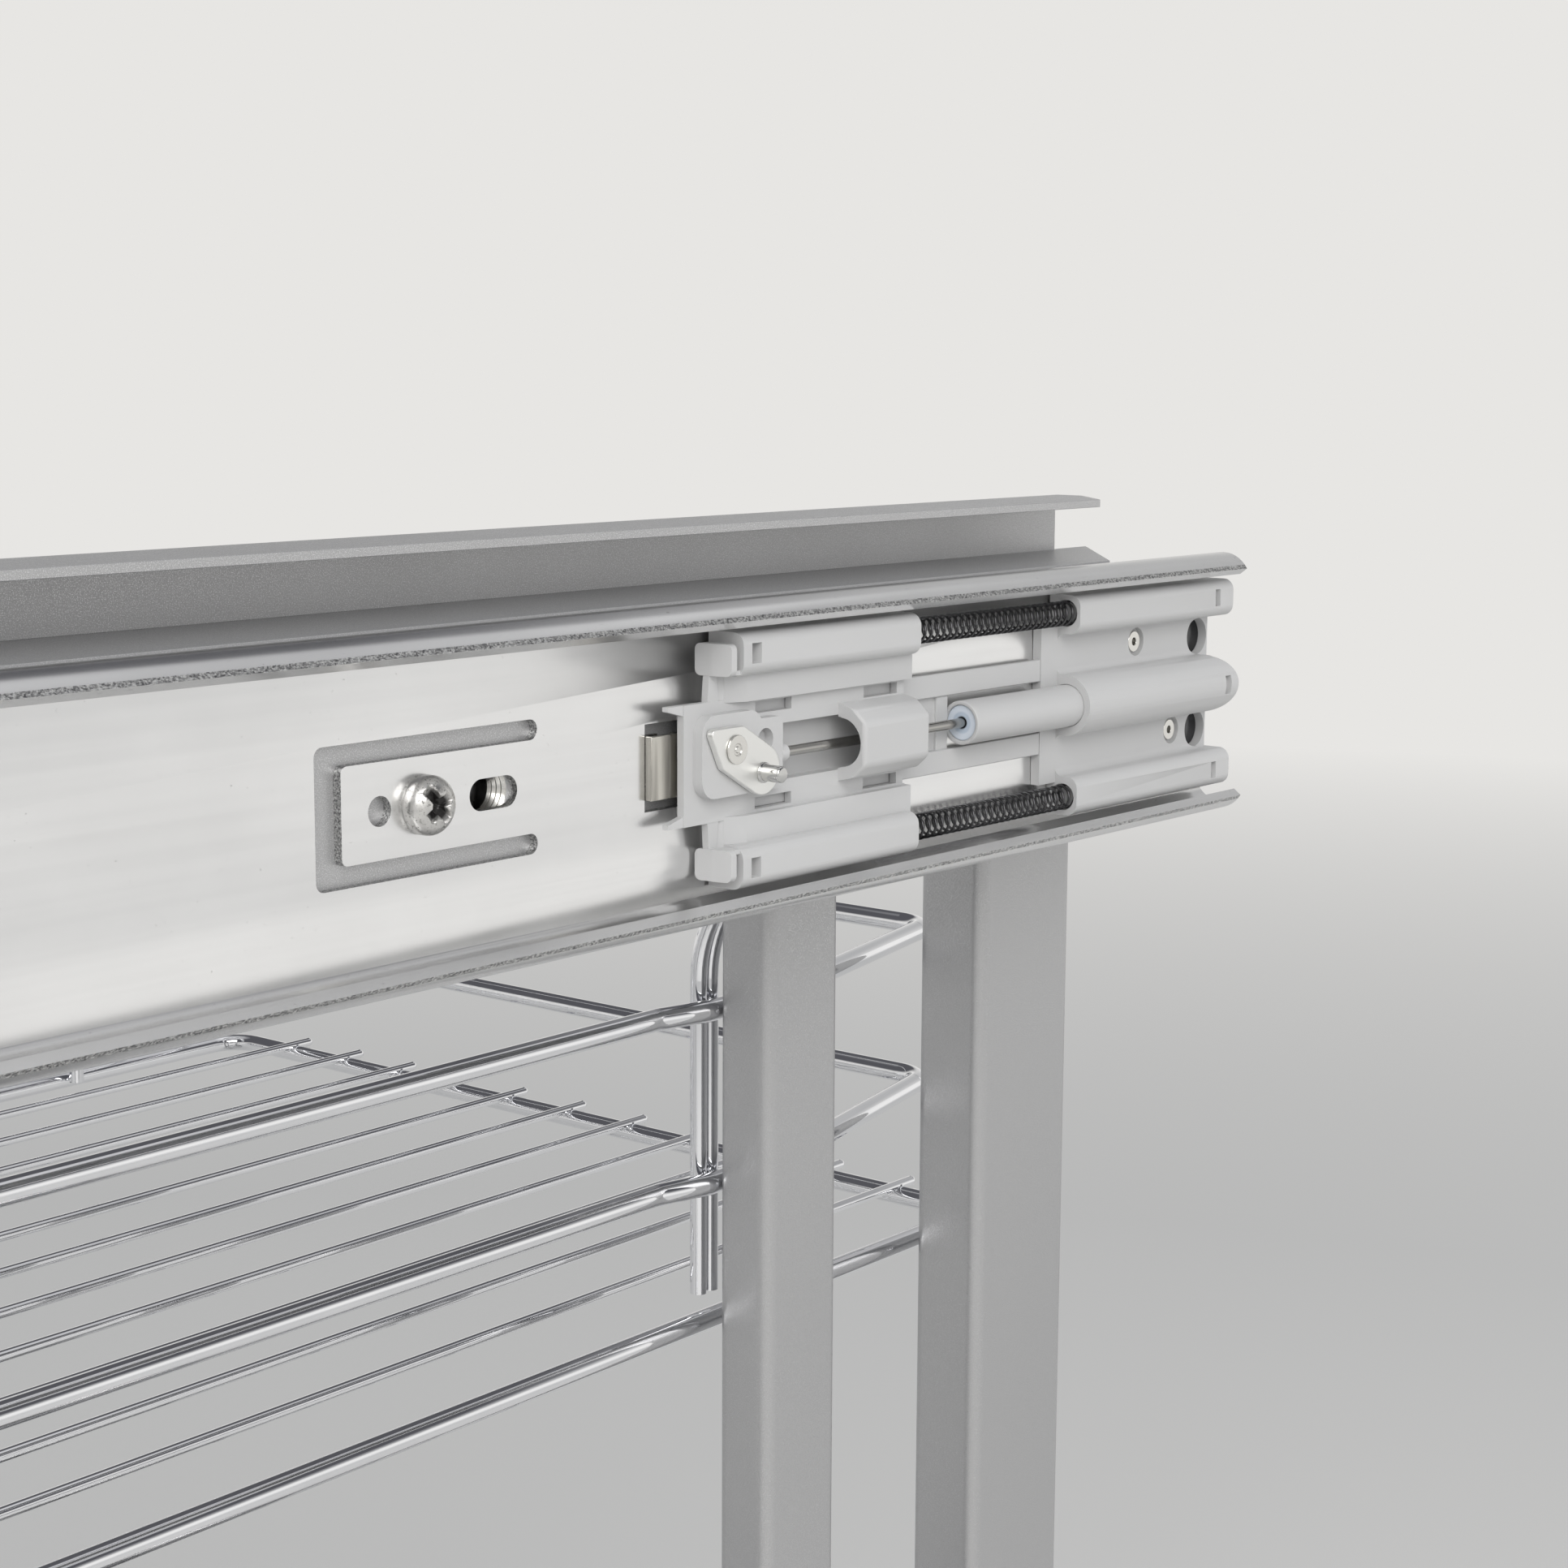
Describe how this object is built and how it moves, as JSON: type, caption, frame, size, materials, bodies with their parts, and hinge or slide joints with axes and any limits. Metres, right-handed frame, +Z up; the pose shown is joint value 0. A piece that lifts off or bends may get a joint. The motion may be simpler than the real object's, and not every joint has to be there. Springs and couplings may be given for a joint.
{
  "type": "corner pull-out basket",
  "caption": "Blind-corner cabinet unit: a carriage with chrome wire baskets on floor slides carries a second framed set of baskets on a soft-closing ball slide.",
  "frame": {"origin": "middle of the unit's overall box, on the floor it is screwed to", "axes": "+X along the cross slide towards the hidden side of the corner, +Y into the cabinet, +Z up"},
  "size_m": [0.883, 0.5724, 0.5399],
  "materials": {
    "silver_paint": "satin silver paint with fine sparkle",
    "zinc_steel": "bright zinc plate",
    "screw_steel": "dull zinc plate",
    "ball_steel": "polished balls in a pressed strip",
    "grey_plastic": "matt light grey",
    "cap_plastic": "smooth bluish white",
    "spring_steel": "dark glossy wire",
    "chrome_wire": "mirror chrome"
  },
  "bodies": {
    "base": {"base_angle_left": "silver_paint", "base_angle_right": "silver_paint", "base_bar_front": "silver_paint", "base_bar_rear": "silver_paint", "pull_outer_left": "zinc_steel", "pull_outer_right": "zinc_steel"},
    "pull_outer_cage": {"pull_outer_cages": "ball_steel"},
    "pull_middle": {"pull_middle_left": "zinc_steel", "pull_middle_right": "zinc_steel"},
    "pull_inner_cage": {"pull_inner_cages": "ball_steel"},
    "carriage": {"pull_inner_left": "zinc_steel", "pull_inner_right": "zinc_steel", "carriage_side_left": "silver_paint", "carriage_side_right": "silver_paint", "carriage_tube_front": "silver_paint", "carriage_tube_rear": "silver_paint", "end_post_right": "silver_paint", "end_post_left": "silver_paint", "hanger_post_right": "silver_paint", "hanger_post_left": "silver_paint", "top_rail": "silver_paint", "bottom_rail": "silver_paint", "slide_outer_upper": "zinc_steel", "slide_outer_lower": "zinc_steel", "tab_screw": "screw_steel", "slide_screws": "screw_steel", "guide_base": "grey_plastic", "latch_clip": "zinc_steel", "soft_close_housing": "grey_plastic", "housing_rivets": "zinc_steel", "damper_cylinder": "grey_plastic", "damper_cap": "cap_plastic", "spring_upper": "spring_steel", "spring_lower": "spring_steel", "rear_upper_rim": "chrome_wire", "rear_upper_grid": "chrome_wire", "rear_lower_rim": "chrome_wire", "rear_lower_grid": "chrome_wire", "rear_upper_hangers": "chrome_wire", "rear_lower_hangers": "chrome_wire"},
    "cross_outer_cage": {"slide_outer_cages": "ball_steel"},
    "cross_middle": {"slide_middle_upper": "zinc_steel", "slide_middle_lower": "zinc_steel"},
    "cross_inner_cage": {"slide_inner_cages": "ball_steel"},
    "front_unit": {"slide_inner_upper": "zinc_steel", "slide_inner_lower": "zinc_steel", "catch_arm": "zinc_steel", "front_frame": "silver_paint", "front_upper_rim": "chrome_wire", "front_upper_grid": "chrome_wire", "front_lower_rim": "chrome_wire", "front_lower_grid": "chrome_wire"},
    "soft_close_slider": {"slider_body": "grey_plastic", "piston_rod": "zinc_steel", "lever_rivet": "zinc_steel"},
    "lever": {"latch_lever": "zinc_steel", "latch_pin": "zinc_steel"}
  },
  "joints": [
    {"name": "pull", "type": "slide", "parent": "base", "child": "carriage", "axis": [0, -1, 0], "range_m": [0, 0.4]},
    {"name": "pull_middle", "type": "slide", "parent": "base", "child": "pull_middle", "axis": [0, -1, 0], "range_m": [0, 0.2]},
    {"name": "pull_outer_cage", "type": "slide", "parent": "base", "child": "pull_outer_cage", "axis": [0, -1, 0], "range_m": [0, 0.1]},
    {"name": "pull_inner_cage", "type": "slide", "parent": "base", "child": "pull_inner_cage", "axis": [0, -1, 0], "range_m": [0, 0.3]},
    {"name": "cross", "type": "slide", "parent": "carriage", "child": "front_unit", "axis": [1, 0, 0], "range_m": [0, 0.38]},
    {"name": "cross_middle", "type": "slide", "parent": "carriage", "child": "cross_middle", "axis": [1, 0, 0], "range_m": [0, 0.19]},
    {"name": "cross_outer_cage", "type": "slide", "parent": "carriage", "child": "cross_outer_cage", "axis": [1, 0, 0], "range_m": [0, 0.095]},
    {"name": "cross_inner_cage", "type": "slide", "parent": "carriage", "child": "cross_inner_cage", "axis": [1, 0, 0], "range_m": [0, 0.285]},
    {"name": "soft_close", "type": "slide", "parent": "carriage", "child": "soft_close_slider", "axis": [1, 0, 0], "range_m": [0, 0.042], "deforming": ["spring_upper", "spring_lower"]},
    {"name": "lever", "type": "hinge", "parent": "soft_close_slider", "child": "lever", "pos_m": [0.2697, -0.03305, 0.5024], "axis": [0, -1, 0], "range_deg": [0, 50]}
  ],
  "couplings": [
    {"joint": "pull_middle", "follows": "pull", "ratio": 0.5},
    {"joint": "pull_outer_cage", "follows": "pull", "ratio": 0.25},
    {"joint": "pull_inner_cage", "follows": "pull", "ratio": 0.75},
    {"joint": "cross_middle", "follows": "cross", "ratio": 0.5},
    {"joint": "cross_outer_cage", "follows": "cross", "ratio": 0.25},
    {"joint": "cross_inner_cage", "follows": "cross", "ratio": 0.75}
  ]
}
